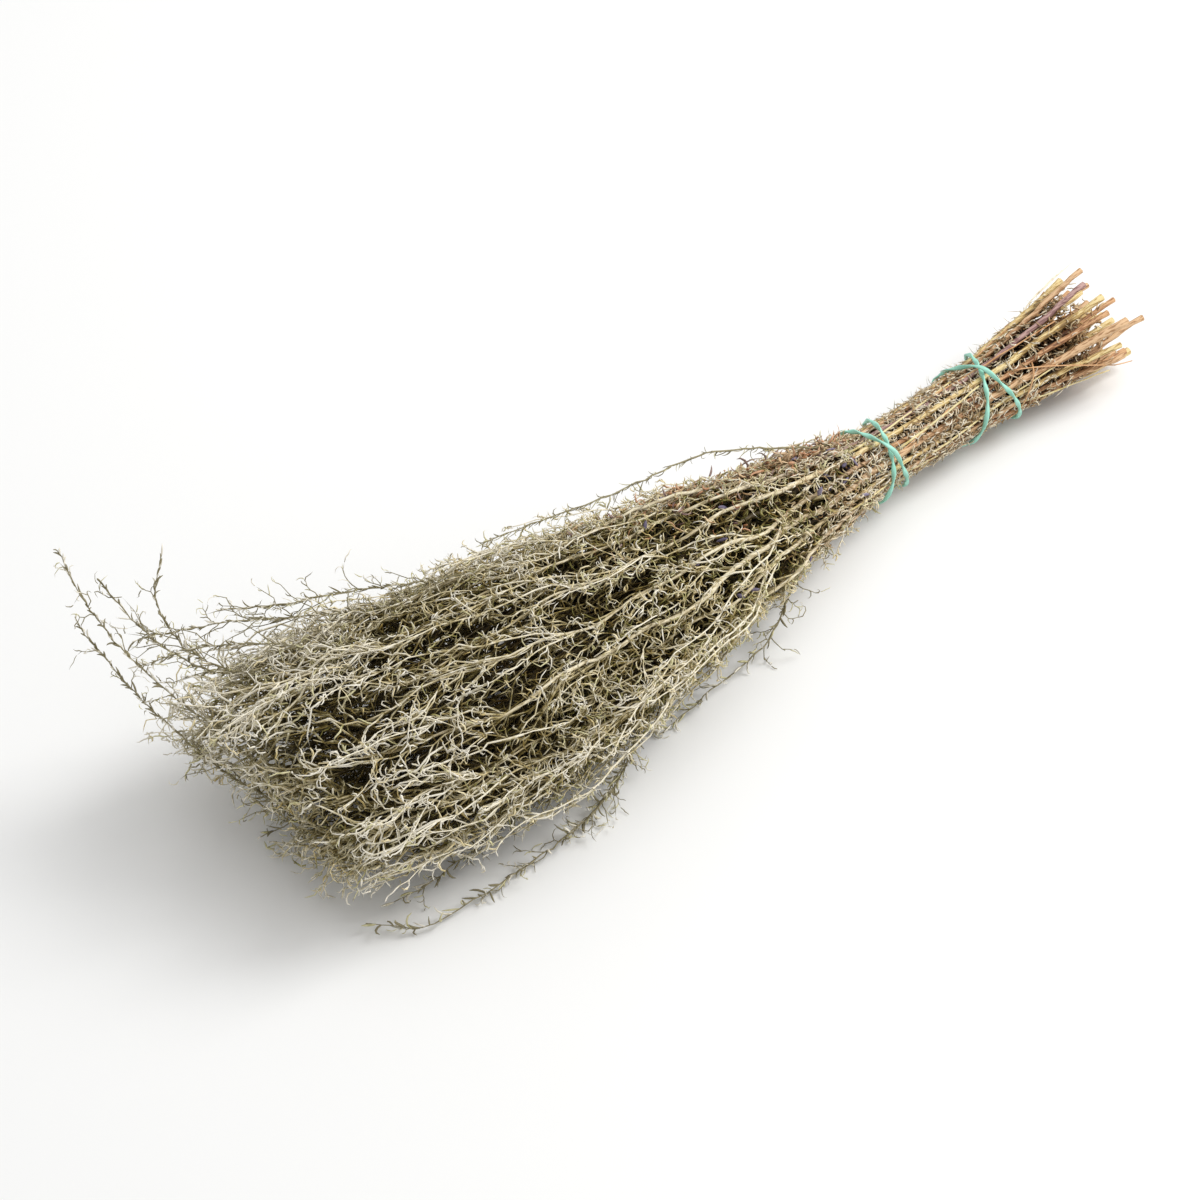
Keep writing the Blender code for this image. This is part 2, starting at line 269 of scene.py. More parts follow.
def band_path(station, stray, crossing):
    """The middle line of a rubber band wound twice round the stems, its turns crossing once."""
    path = []
    for turn in np.linspace(0, 4 * math.pi, BAND_POINTS, endpoint=False):
        place = station + stray * math.sin(turn / 2)
        half_width, half_height, middle_y, middle_z = outline(place)
        over = math.exp(-((turn - FULL_TURN) / 0.35) ** 2)
        out = STEM_CUT_RADIUS + BAND_RADIUS + CLEARANCE + 2.6 * BAND_RADIUS * over
        angle = math.radians(crossing) + turn
        path.append(
            (
                CUT_END_X - place,
                middle_y + (half_width * 1.02 + out) * math.cos(angle),
                middle_z + (half_height * 1.02 + out) * math.sin(angle),
            )
        )
    return np.array(path)


thicket = Thicket()
for index, shoots in enumerate(sprigs):
    thicket.add(index, shoots[0])
for order, (_, *wound) in enumerate(BANDS):
    path = band_path(*wound)
    thicket.add(len(stems) + order, Shoot(path, np.full(len(path), BAND_RADIUS)))

sprays = [[] for stem in stems]
for corners in STRAY_SPRAYS:
    start = np.array(corners[0]) * MM + (CUT_END_X, MIDDLE_Y, 0)
    station = CUT_END_X - start[0] - 0.030
    nearest = sorted(
        range(len(stems)), key=lambda index: np.linalg.norm(stem_point(stems[index], station) - start)
    )
    for index in nearest[:8]:
        shoot = spray_shoot(stems[index], corners)
        if stems[index].tip > station + 0.005 and thicket.room_for(index, shoot) > CLEARANCE:
            thicket.add(index, shoot)
            sprays[index].append(shoot)
            break

for number in range(BRANCHES_PER_SPRIG):
    for index, stem in enumerate(stems):
        first, last = 0.185, stem.tip - 0.075
        found = []
        for attempt in range(BRANCH_ATTEMPTS):
            station = first + (last - first) * (number + rng.random()) / BRANCHES_PER_SPRIG
            shoot = branch_shoot(stem, station, rng)
            if all(inside_head(point) for point in shoot.points[2:]):
                found.append((thicket.room_for(index, shoot), attempt, shoot))
        fitting = sorted(choice for choice in found if choice[0] > CLEARANCE)
        if fitting:
            thicket.add(index, fitting[0][2])
            sprigs[index].append(fitting[0][2])


# --- Twigs and leaves ---
# Crooked twigs and thread-like leaf lobes, felted with fine hairs and curled as they dried. They sit
# thickly round the stems and branches. Light has bleached the outer ones; the crushed inner ones are
# darker, partly in their own colour and partly in painted shade. Growth near the table is painted in
# shade, and the leafy end is painted lighter.

SWAY = 2.4 * MM  # how far a sprig bends off its straight course in the head
SWAY_WAVE = 0.105
BRANCH_CROOK = 0.35 * MM  # how far the points of a branch stray
TWIG_SPACING = 6.5 * MM
TWIG_TURN = math.radians(137.5)  # from one twig to the next, round what bears them
TWIG_RADIUS = 0.40 * MM
LEAF_RADIUS = 0.38 * MM
TWIG_TAPER = np.array([1.0, 0.92, 0.84, 0.74, 0.6, 0.0])
LEAF_TAPER = np.array([0.75, 1.0, 0.9, 0.7, 0.0])
LEAF_PLACES = [1, 3, 4, 5, 5]  # where leaves leave a twig: the numbers of its points
CROWN_BRANCHES = 4  # fine branches near the top of each stem
BARK, TWIG, SILVER, OLIVE, STRAW, BUD, PITH = range(7)  # the material slots of a sprig

Strand = namedtuple("Strand", "points radii tilt look")
Habit = namedtuple("Habit", "spacing opening lengths turn droop girth looks")  # of a spray's buds

BUDDED = Habit(1.15, (2, 9, 42), (1.2, 2.2, 6.5), 0.3, 0.0, 1.0, (BUD, BUD, SILVER))
LEAFY = Habit(2.1, (6, 26, 80), (2.2, 4.5, 9.5), 1.2, 0.0, 1.25, (BUD, OLIVE, SILVER))
THREADY = Habit(1.0, (2, 6, 70), (1.4, 2.6, 8.5), 0.9, 0.35, 0.5, (BUD, BUD, OLIVE))


def unit(vectors):
    return vectors / np.linalg.norm(vectors, axis=-1, keepdims=True)


def square_to(headings, roll):
    """Unit vectors square to the headings, at a roll angle round them."""
    spare = np.where(np.abs(headings[:, 2:]) < 0.9, (0.0, 0.0, 1.0), (0.0, 1.0, 0.0))
    first = unit(np.cross(headings, spare))
    second = np.cross(headings, first)
    return first * np.cos(roll)[:, None] + second * np.sin(roll)[:, None]


def curled(base, heading, axis, length, turn, count, hook=1.0):
    """Paths that start along a heading and turn about an axis; a hook above 1 turns late."""
    side = np.cross(axis, heading)
    path = [base]
    for place in range(count - 1):
        angle = (turn * ((place + 0.5) / (count - 1)) ** hook)[:, None]
        ahead = heading * np.cos(angle) + side * np.sin(angle)
        path.append(path[-1] + ahead * (length / (count - 1))[:, None])
    return np.stack(path, axis=1)


def squared(axis, heading):
    """Axes, turned until they are square to the headings."""
    return unit(axis - heading * (axis * heading).sum(axis=1, keepdims=True))


def ramp(values, start, reach):
    """How far values have come from a start over a reach, from 0 to 1; a reach below 0 runs down."""
    return np.clip((values - start) / reach, 0, 1)


def crooked(path, amount, dice):
    """A path whose points, after the first, stray by an amount."""
    path[1:] += dice.normal(0, amount, (len(path) - 1, 3))
    return path


def drawn_back(paths, chosen, share):
    """The paths, with the chosen ones shortened to a share of their length."""
    paths[chosen] = paths[chosen][:, :1] + (paths[chosen] - paths[chosen][:, :1]) * share
    return paths


def outline_at(stations):
    """Half widths, half heights, middle offsets and middle heights of the bunch at the stations."""
    return (np.interp(stations, OUTLINE[:, 0], OUTLINE[:, column]) for column in (1, 2, 3, 4))


def in_bunch(points):
    """Where points lie in the bunch: their stations, and shares of its half width and half height."""
    station = CUT_END_X - points[:, 0]
    half_width, half_height, offset, middle_z = outline_at(station)
    across = (points[:, 1] - MIDDLE_Y - offset) / half_width
    return station, across, (points[:, 2] - middle_z) / half_height


def outness(points):
    """How near the bunch's surface points lie: 0 at its middle line, 1 at its side or leafy end."""
    station, across, up = in_bunch(points)
    return np.maximum.reduce([np.hypot(across, up), (station - 0.304) / 0.135, 1.38 - station / 0.06])


def past_head(points):
    """True for points beyond the head's leafy end, which reaches furthest on its upper far side."""
    station, across, up = in_bunch(points)
    return station > 0.443 + 0.026 * np.clip(0.6 * across + 0.6 * up, -0.2, 1)


def shade_and_bleaching(points):
    """How pale growth is painted. Light bleached it, but not deep inside, where it is darker, partly its own
    colour and partly painted shade; growth near the table is painted in shade, and the leafy end is painted
    lighter, most on its top.
    """
    station, across, up = in_bunch(points)
    # Painted light: the whole leafy end is painted a little paler, and its top most.
    end = ramp(station, 0.355, 0.05) * ramp(np.hypot(across, up), 0.70, 0.25)
    end = 0.27 * end * np.clip(0.3 + up, 0, 1) + 0.19 * ramp(station, 0.40, 0.03)
    # Painted shade: growth low near the table, under the head, is painted darker.
    painted_table_shade = ramp(points[:, 2], 0.045, -0.030) * ramp(station, 0.43, -0.03)
    painted_table_shade *= 0.42 * ramp(station, 0.22, 0.04)
    # Deep inside, growth is painted darker: partly its own unbleached colour, partly painted shade.
    return np.clip((outness(points) - 0.77) / 0.40 + end - painted_table_shade, 0, 1)


def swayed(points, phases):
    """The points of a sprig, bent off its course by the same amount wherever it is as far along."""
    station = CUT_END_X - points[..., 0]
    amount = SWAY * (np.clip((station - 0.14) / 0.07, 0.15, 1) + np.clip(0.3 - station / 0.12, 0, 0.4)) / 1.5
    wave = FULL_TURN * station / SWAY_WAVE
    bent = points.copy()
    bent[..., 1] += amount * (np.sin(wave + phases[0]) + 0.5 * np.sin(2.3 * wave + phases[1]))
    bent[..., 2] += amount * (np.sin(wave + phases[2]) + 0.5 * np.sin(2.3 * wave + phases[3]))
    return bent


def refined(shoot, step):
    """A shoot with a point every step, on a smooth path."""
    length = np.linalg.norm(np.diff(shoot.points, axis=0), axis=1).sum()
    count = max(4, round(length / step) + 1)
    places = np.linspace(0, 1, count)
    radii = np.interp(places, np.linspace(0, 1, len(shoot.radii)), shoot.radii)
    return Shoot(curve_through(shoot.points, count), radii)


def along_path(path, first, spacing, dice):
    """Places along a path: their points and the path's heading there."""
    steps = np.linalg.norm(np.diff(path, axis=0), axis=1)
    reach = np.concatenate([[0], np.cumsum(steps)])
    places = np.arange(first, reach[-1], spacing)
    places = np.clip(places + dice.uniform(-0.4, 0.4, len(places)) * spacing, 0, reach[-1] - 0.2 * MM)
    here, ahead = (
        np.column_stack([np.interp(at, reach, path[:, axis]) for axis in range(3)])
        for at in (places, places + 0.2 * MM)
    )
    return here, unit(ahead - here)


def above_table(paths, radius):
    """The paths, lifted where they would sink into the table."""
    paths[..., 2] = np.maximum(paths[..., 2], radius + 0.3 * MM)
    return paths


def leaning(ahead, opening, roll):
    """Headings that open from the given ones by an angle, at a roll round them."""
    opening = opening[:, None]
    return ahead * np.cos(opening) + square_to(ahead, roll) * np.sin(opening)


def grow_twigs(here, ahead, length, dice):
    """Crooked twigs that leave a shoot in turn round it; the longer ones lie closer along it."""
    count = len(here)
    roll = dice.uniform(0, FULL_TURN) + TWIG_TURN * np.arange(count) + dice.normal(0, 0.5, count)
    loose = np.interp(length, (10 * MM, 30 * MM), (1.0, 0.4))
    heading = leaning(ahead, np.radians(dice.uniform(22, 64, count) * loose), roll)
    axis = squared(unit(np.cross(heading, ahead) + dice.normal(0, 0.6, (count, 3))), heading)
    turn = dice.normal(0.4, 1.25, count) * loose
    twigs = curled(here, heading, axis, length, turn, len(TWIG_TAPER), hook=1.3)
    twigs[:, 1:] += dice.normal(0, 0.035, twigs[:, 1:].shape) * length[:, None, None]
    return above_table(twigs, TWIG_RADIUS)


def grow_tufts(twigs, places, lengths, dice):
    """Curled leaf lobes at the given points of the twigs; a place named twice bears two."""
    here = twigs[:, places].reshape(-1, 3)
    ahead = unit(here - twigs[:, [place - 1 for place in places]].reshape(-1, 3))
    count = len(here)
    heading = leaning(ahead, np.radians(dice.uniform(15, 68, count)), dice.uniform(0, FULL_TURN, count))
    axis = square_to(heading, dice.uniform(0, FULL_TURN, count))
    turn = dice.triangular(0.3, 1.6, 4.4, count)
    length = dice.triangular(*lengths, count)
    leaves = curled(here, heading, axis, length, turn, len(LEAF_TAPER), hook=1.2)
    leaves[:, 1:] += dice.normal(0, 0.035, leaves[:, 1:].shape) * length[:, None, None]
    return above_table(leaves, LEAF_RADIUS)


def grow_buds(path, habit, dice):
    """Closed flower buds or small leaves set along a spray, each with its half widths."""
    here, ahead = along_path(path, 14 * MM, habit.spacing * MM, dice)
    chosen = dice.random(len(here)) < 0.8
    here, ahead = here[chosen], ahead[chosen]
    count = len(here)
    heading = leaning(
        ahead, np.radians(dice.triangular(*habit.opening, count)), dice.uniform(0, FULL_TURN, count)
    )
    heading = unit(heading - (0, 0, habit.droop))
    axis = square_to(heading, dice.uniform(0, FULL_TURN, count))
    length = dice.triangular(*habit.lengths, count) * MM
    turn = dice.normal(habit.turn, 0.6 + 0.3 * habit.turn, count)
    buds = above_table(curled(here, heading, axis, length, turn, 5), 0.6 * MM)
    girths = dice.uniform(0.6, 1.1, count) * habit.girth
    return [(bud, girth * np.array([0.24, 0.42, 0.45, 0.36, 0.10]) * MM) for bud, girth in zip(buds, girths)]


def crushed_girth(points):
    """How much thicker growth is: deep inside, where few strands stand for the crush, and at the tips."""
    deep = np.interp(outness(points), (0.60, 0.88), (1.8, 0.0))
    station = CUT_END_X - points[:, 0]
    return 1 + deep * ramp(station, 0.39, -0.05) + 0.14 * ramp(station, 0.35, 0.05)


def leaf_looks_at(points, dice):
    """A material for each leaf: mostly olive and straw towards the neck, and silver towards the tips."""
    station = CUT_END_X - points[:, 0]
    silver = np.clip((station - 0.18) / 0.20, 0.12, 0.75)
    chance = dice.random(len(points))
    return np.where(chance < silver, SILVER, np.where(chance < 0.45 + 0.55 * silver, OLIVE, STRAW))


def section(name, half_width, half_thickness, sides):
    """A closed flat curve that gives strands their cross section."""
    data = bpy.data.curves.new(name, "CURVE")
    data.dimensions = "2D"
    spline = data.splines.new("POLY")
    spline.points.add(sides - 1)
    for place, point in enumerate(spline.points):
        angle = FULL_TURN * place / sides
        point.co = (half_width * math.cos(angle), half_thickness * math.sin(angle), 0, 1)
    spline.use_cyclic_u = True
    profile = bpy.data.objects.new(name, data)
    bpy.context.scene.collection.objects.link(profile)
    return profile


def strand_curve(name, strands, profile, looks):
    """A curve object with one tube or strip for each strand."""
    data = bpy.data.curves.new(name, "CURVE")
    data.dimensions = "3D"
    data.bevel_mode = "OBJECT"
    data.bevel_object = profile
    data.use_fill_caps = True
    for look in looks:
        data.materials.append(look)
    for strand in strands:
        spline = data.splines.new("POLY")
        count = len(strand.points)
        spline.points.add(count - 1)
        spline.points.foreach_set("co", np.column_stack([strand.points, np.ones(count)]).ravel())
        spline.points.foreach_set("radius", strand.radii)
        spline.points.foreach_set("tilt", np.full(count, strand.tilt))
        spline.material_index = strand.look
    curve = bpy.data.objects.new(name, data)
    bpy.context.scene.collection.objects.link(curve)
    return curve


def welded_piece(name, curves, looks):
    """One mesh object from several curve objects, which it replaces, with its bleaching and its painted shade
    and light at each point.
    """
    graph = bpy.context.evaluated_depsgraph_get()
    shape = bmesh.new()
    for curve in curves:
        mesh = bpy.data.meshes.new_from_object(curve.evaluated_get(graph))
        shape.from_mesh(mesh)
        bpy.data.meshes.remove(mesh)
        bpy.data.objects.remove(curve)
    bmesh.ops.remove_doubles(shape, verts=shape.verts, dist=0.001 * MM)
    bmesh.ops.recalc_face_normals(shape, faces=shape.faces)
    mesh = bpy.data.meshes.new(name)
    shape.to_mesh(mesh)
    shape.free()
    points = np.empty(3 * len(mesh.vertices))
    mesh.vertices.foreach_get("co", points)
    # This attribute carries bleaching together with painted shade and painted light.
    shade_and_bleach = mesh.attributes.new("shade_and_bleach", "FLOAT", "POINT")
    shade_and_bleach.data.foreach_set("value", shade_and_bleaching(points.reshape(-1, 3)))
    for look in looks:
        mesh.materials.append(look)
    mesh.shade_smooth()
    piece = bpy.data.objects.new(name, mesh)
    bpy.context.scene.collection.objects.link(piece)
    return piece


def to_linear(hex_colour):
    """An sRGB hex colour as the linear values that shaders take."""
    values = (int(hex_colour[place : place + 2], 16) / 255 for place in (1, 3, 5))
    return (*(v / 12.92 if v <= 0.04045 else ((v + 0.055) / 1.055) ** 2.4 for v in values), 1)


def add_node(tree, kind, inputs=(), **settings):
    """Adds a node with its settings; each input is a value or the output that feeds it."""
    made = tree.nodes.new(kind)
    for name, value in settings.items():
        setattr(made, name, value)
    for socket, value in dict(inputs).items():
        if isinstance(value, bpy.types.NodeSocket):
            tree.links.new(value, made.inputs[socket])
        else:
            made.inputs[socket].default_value = value
    return made


def blank_material(name, roughness):
    made = bpy.data.materials.new(name)
    made.use_nodes = True
    shader = made.node_tree.nodes["Principled BSDF"]
    shader.inputs["Roughness"].default_value = roughness
    return made, made.node_tree, shader


def two_tones(tree, share, first, second):
    """The output of a mix of two sRGB colours."""
    colours = {0: share, 6: to_linear(first), 7: to_linear(second)}
    return add_node(tree, "ShaderNodeMix", colours, data_type="RGBA").outputs[2]


def graded(tree, share, stops):
    """The output of a colour ramp through stops, each a place on the ramp and its sRGB colour."""
    made = add_node(tree, "ShaderNodeValToRGB", {0: share})
    for order, (place, colour) in enumerate(stops):
        points = made.color_ramp.elements
        point = points[order] if order < 2 else points.new(place)
        point.position = place
        point.color = to_linear(colour)
    return made.outputs[0]


def blotched_shade_and_bleach(tree, place, blotch, amount):
    """How pale each point is painted, from its bleaching and its painted shade and light, made uneven by
    blotches of a size and an amount.
    """
    noise = add_node(tree, "ShaderNodeTexNoise", {"Vector": place, "Scale": 1 / blotch, "Detail": 3.0})
    shade_and_bleach = add_node(tree, "ShaderNodeAttribute", attribute_name="shade_and_bleach")
    uneven = {0: noise.outputs[0], 1: amount, 2: -0.5 * amount}
    shift = add_node(tree, "ShaderNodeMath", uneven, operation="MULTIPLY_ADD").outputs[0]
    total = {0: shift, 1: shade_and_bleach.outputs["Fac"]}
    return add_node(tree, "ShaderNodeMath", total, operation="ADD").outputs[0]


def roughened(tree, place, shader, grain, strength):
    """Fine relief on a shader's surface."""
    noise = add_node(tree, "ShaderNodeTexNoise", {"Vector": place, "Scale": 1 / grain, "Detail": 3.0})
    relief = {"Height": noise.outputs[0], "Strength": strength, "Distance": 0.25 * MM}
    bump = add_node(tree, "ShaderNodeBump", relief)
    tree.links.new(bump.outputs[0], shader.inputs["Normal"])


def dried_growth(name, crushed_and_shaded, inner, outer, bleached_and_lit):
    """Felted dried growth, from its colour where it is crushed inside, darkened there with painted shade, to
    where light bleached it, lightened with painted light at the leafy end.
    """
    made, tree, shader = blank_material(name, 0.85)
    shader.inputs["Sheen Weight"].default_value = 0.05
    shader.inputs["Specular IOR Level"].default_value = 0.25
    place = add_node(tree, "ShaderNodeTexCoord").outputs["Object"]
    share = blotched_shade_and_bleach(tree, place, 3 * MM, 1.5)
    stops = ((0.04, crushed_and_shaded), (0.36, inner), (0.66, outer), (0.96, bleached_and_lit))
    tree.links.new(graded(tree, share, stops), shader.inputs["Base Color"])
    roughened(tree, place, shader, 0.6 * MM, 0.5)
    return made


def woody_bark(name, groove, root, rib):
    """Ribbed bark of a dried stem: its own colour where it is tied, bleached to straw in the head, darkened
    with painted shade deep in the bunch and near the table, and lightened with painted light at the leafy
    end.
    """
    made, tree, shader = blank_material(name, 0.65)
    place = add_node(tree, "ShaderNodeTexCoord").outputs["Object"]
    stretched = add_node(tree, "ShaderNodeMapping", {"Vector": place, "Scale": (0.09, 1, 1)}).outputs[0]
    share = blotched_shade_and_bleach(tree, stretched, 0.7 * MM, 2.0)
    tied = graded(tree, share, ((0.1, "#3F2C18"), (0.5, groove), (0.82, root), (1.0, rib)))
    loose = graded(tree, share, ((0.0, "#43361C"), (0.3, "#8A7B52"), (0.62, "#BFB08C"), (1.0, "#E6DCC0")))
    along = add_node(tree, "ShaderNodeSeparateXYZ", {"Vector": place})
    change = {"Value": along.outputs[0], "From Min": 0.095, "From Max": 0.02}
    change = add_node(tree, "ShaderNodeMapRange", change).outputs[0]
    mixed = add_node(tree, "ShaderNodeMix", {0: change, 6: tied, 7: loose}, data_type="RGBA")
    tree.links.new(mixed.outputs[2], shader.inputs["Base Color"])
    roughened(tree, stretched, shader, 0.7 * MM, 0.6)
    return made


barks = (
    woody_bark("straw_wormwood_bark", "#846637", "#BE9F62", "#DFCA94"),
    woody_bark("tan_wormwood_bark", "#7A5029", "#B0875E", "#D3AF86"),
    woody_bark("brown_wormwood_bark", "#693D1E", "#A3744D", "#CA9E72"),
    woody_bark("purple_wormwood_bark", "#624038", "#926D69", "#B5938B"),
)
BARK_ORDER = (0, 1, 2, 0, 1, 3, 0, 2, 1)
growth_looks = (
    dried_growth("bleached_wormwood_twig", "#40320F", "#8A7942", "#CFC197", "#F1E9D3"),
    dried_growth("silver_wormwood_leaf", "#392E0F", "#7A6C3B", "#C2B894", "#F1EBDB"),
    dried_growth("olive_wormwood_leaf", "#322D0A", "#696227", "#A39C5E", "#DAD3A8"),
    dried_growth("straw_wormwood_leaf", "#41300D", "#8D7637", "#C9B57C", "#F0E2BA"),
    dried_growth("wormwood_bud", "#403618", "#564D30", "#716849", "#938A6C"),
    dried_growth("wormwood_pith", "#A98E63", "#C2A67A", "#D0B78E", "#DCC8A4"),
)
round_section = section("stem_section", 1.0, 1.0, 8)
branch_section = section("branch_section", 1.0, 1.0, 4)
twig_section = section("twig_section", 1.0, 1.0, 3)
leaf_section = section("leaf_section", 1.0, 0.6, 3)


def stem_strands(stem, shoot, phases, dice):
    """A crooked, knuckled stem, and the pale pith that shows where it is cut."""
    trunk = refined(shoot, 5 * MM)
    count = len(trunk.points)
    path = crooked(swayed(trunk.points, phases), 0.2 * MM, dice)
    knuckles = 1 + 0.13 * (np.arange(count) % 5 == 0) + dice.normal(0, 0.04, count)
    girth = stem.thick * dice.uniform(0.68, 1.02)
    slender = dice.uniform(0.62, 1.1)
    thinning = np.interp(
        CUT_END_X - path[:, 0], (0.03, 0.07, 0.16, 0.28, 0.42), (1.12, 1, 0.85, 0.50 * slender, 0.26)
    )
    radii = STEM_CUT_RADIUS * girth * thinning * knuckles
    outward = unit(path[0] - path[1])
    core = np.array([path[0] - 1.0 * MM * outward, path[0] + 0.12 * MM * outward])
    return path, [Strand(path, radii, 0.0, BARK), Strand(core, np.full(2, 0.55 * radii[0]), 0.3, PITH)]


def fine_branch(stem, station, lengths, phases, dice):
    """A thin branch that leaves a stem at a station, and the first of eight that stays inside the head."""
    base = stem_point(stem, station)[None]
    ahead = unit(stem_point(stem, station + 0.01)[None] - base)
    for attempt in range(8):
        roll = dice.uniform(0, FULL_TURN, 1)
        heading = leaning(ahead, np.radians(dice.uniform(12, 46, 1)), roll)
        axis = squared(unit(np.cross(heading, ahead) + dice.normal(0, 0.35, (1, 3))), heading)
        length = dice.uniform(*lengths, 1) * (1 - 0.09 * attempt)
        path = curled(base, heading, axis, length, dice.normal(0.35, 0.8, 1), 11)[0]
        if inside_head(path[5]) and inside_head(path[-1]) and not past_head(path).any():
            break
    return above_table(crooked(swayed(path, phases), BRANCH_CROOK, dice), 0.6 * MM)


growth = bmesh.new()  # the surfaces of all the sprigs, for what is caught between them
for index, stem in enumerate(stems):
    name = f"sprig_{index + 1:02d}"
    dice = np.random.default_rng(500 + index)
    phases = dice.uniform(0, FULL_TURN, 4)
    trunk, woody = stem_strands(stem, sprigs[index][0], phases, dice)
    branches, twiggy, leafy = [], [], []
    bushy = [trunk[26:]]
    for branch in sprigs[index][1:]:
        path = crooked(swayed(refined(branch, 7 * MM).points, phases), BRANCH_CROOK, dice)
        path = above_table(path[~past_head(path)], 0.8 * MM)
        branches.append(Strand(path, np.linspace(0.46, 0.25, len(path)) * MM, 0.0, TWIG))
        bushy.append(path)
    fine_branches = round(4 + 5 * stem.share)
    sites = [
        (0.138 + (stem.tip - 0.160) * ((order + dice.random()) / fine_branches) ** 0.8, (0.030, 0.085))
        for order in range(fine_branches)
    ]
    crown_branches = CROWN_BRANCHES + (3 if math.cos(stem.angle - 0.6) > 0.6 else 0)
    sites += [(stem.tip - dice.uniform(0.004, 0.060), (0.022, 0.055)) for order in range(crown_branches)]
    if math.cos(stem.angle - 3.4) > 0.5:  # the low front side
        sites += [(dice.uniform(0.22, min(0.39, stem.tip)), (0.025, 0.060)) for order in range(3)]
    for station, lengths in sites:
        path = fine_branch(stem, station, lengths, phases, dice)
        path = path[~past_head(path)]
        if len(path) < 3:
            continue
        branches.append(Strand(path, np.linspace(0.36, 0.21, len(path)) * MM, 0.0, TWIG))
        bushy.append(path)

    for path in bushy:
        here, ahead = along_path(path, 3 * MM, TWIG_SPACING, dice)
        station, across, up = in_bunch(here)
        neck = np.clip(1 - abs(station - 0.215) / 0.065, 0, 1)
        airy = ramp(station, 0.385, 0.03) * ramp(np.hypot(across, up), 0.90, -0.2)
        chance = np.clip(3.0 * outness(here) - 1.9 + 1.2 * neck, 0.06, 1) * (1 - 0.45 * airy)
        keep = dice.random(len(here)) < chance
        here, ahead = here[keep], ahead[keep]
        if not len(here):
            continue
        lengths = dice.triangular(4, 8, 18, len(here)) * MM
        runners = dice.random(len(here)) < np.interp(CUT_END_X - here[:, 0], (0.26, 0.40), (0.24, 0.60))
        lengths[runners] = dice.uniform(18, 42, runners.sum()) * MM
        twigs = grow_twigs(here, ahead, lengths, dice)
        for halving in range(2):
            astray = (outness(twigs[:, -1]) > 1.10) | past_head(twigs[:, -1])
            twigs = drawn_back(twigs, astray, 0.5)
        twigs = twigs[~past_head(twigs[:, -1])]
        reach = np.linalg.norm(twigs[:, -1] - twigs[:, 0], axis=1)
        girths = crushed_girth(twigs[:, 2]) * np.interp(reach, (8 * MM, 25 * MM), (0.95, 1.3))
        silver = dice.random(len(twigs)) < np.clip((CUT_END_X - twigs[:, 0, 0] - 0.33) / 0.10, 0, 0.7)
        twiggy.extend(
            Strand(twig, girth * TWIG_RADIUS * TWIG_TAPER, 0.0, SILVER if pale else TWIG)
            for twig, girth, pale in zip(twigs, girths, silver)
        )
        leaves = grow_tufts(twigs, LEAF_PLACES, (2.5 * MM, 6.0 * MM, 12.0 * MM), dice)
        leafy.append(drawn_back(leaves, outness(leaves[:, -1]) > 1.18, 0.55))
    tufts = []
    for spray in sprays[index]:
        path = above_table(crooked(refined(spray, 4 * MM).points, 0.30 * MM, dice), 0.6 * MM)
        habit = LEAFY if path[-1, 2] < 12 * MM else THREADY if CUT_END_X - path[-1, 0] < 0.34 else BUDDED
        girth = 1.25 if habit is THREADY else 1.0
        branches.append(Strand(path, girth * np.linspace(0.44, 0.20, len(path)) * MM, 0.0, BUD))
        here, ahead = along_path(path, 5 * MM, 3.2 * MM, dice)
        leafy_part = dice.random(len(here)) < np.linspace(0.0 if habit is THREADY else 1.7, 0.0, len(here))
        here, ahead = here[leafy_part], ahead[leafy_part]
        longest = 30 if habit is BUDDED else 16
        twigs = grow_twigs(here, ahead, dice.triangular(3, 6, longest, len(here)) * MM, dice)
        twiggy.extend(Strand(twig, 0.65 * TWIG_RADIUS * TWIG_TAPER, 0.0, BUD) for twig in twigs)
        tufts.append(grow_tufts(twigs, [2, 3, 4, 5], (1.8 * MM, 3.6 * MM, 8.0 * MM), dice))
        for bud, half_widths in grow_buds(path, habit, dice):
            twiggy.append(Strand(bud, half_widths, 0.0, int(dice.choice(habit.looks))))
    half_widths = 0.7 * LEAF_RADIUS * LEAF_TAPER
    leafy_sprays = [
        Strand(leaf, half_widths, dice.uniform(0, math.pi), int(dice.choice((BUD, SILVER, OLIVE))))
        for tuft in tufts
        for leaf in tuft
    ]

    leaves = np.concatenate(leafy)
    kept = np.interp(CUT_END_X - leaves[:, 0, 0], (0.30, 0.42), (1, 0.50))
    leaves = leaves[dice.random(len(leaves)) < kept]
    widths = dice.uniform(0.7, 1.25, len(leaves)) * LEAF_RADIUS * crushed_girth(leaves[:, 1])
    tilts = dice.uniform(0, math.pi, len(leaves))
    leafy = [
        Strand(leaf, width * LEAF_TAPER, tilt, int(look))
        for leaf, width, tilt, look in zip(leaves, widths, tilts, leaf_looks_at(leaves[:, 0], dice))
    ]
    looks = (barks[BARK_ORDER[index % len(BARK_ORDER)]], *growth_looks)
    curves = [
        strand_curve(f"{name}_stem", woody, round_section, looks),
        strand_curve(f"{name}_branches", branches, branch_section, looks),
        strand_curve(f"{name}_twigs", twiggy, twig_section, looks),
        strand_curve(f"{name}_leaves", leafy + leafy_sprays, leaf_section, looks),
    ]
    sprig = welded_piece(f"dried_{name}", curves, looks)
    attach(sprig, "root")
    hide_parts(name)
    growth.from_mesh(sprig.data)


# --- Rubber bands ---
# Two soft mint-green rubber bands, cut from flat tube and wound twice round the stems. They are
# twisted like a cord, so their flat sides catch the light in turn.

BAND_WIDTH = 2.1 * MM
BAND_THICKNESS = 1.15 * MM
BAND_RINGS = 300
BAND_TWISTS = 11  # whole turns of its section along a band


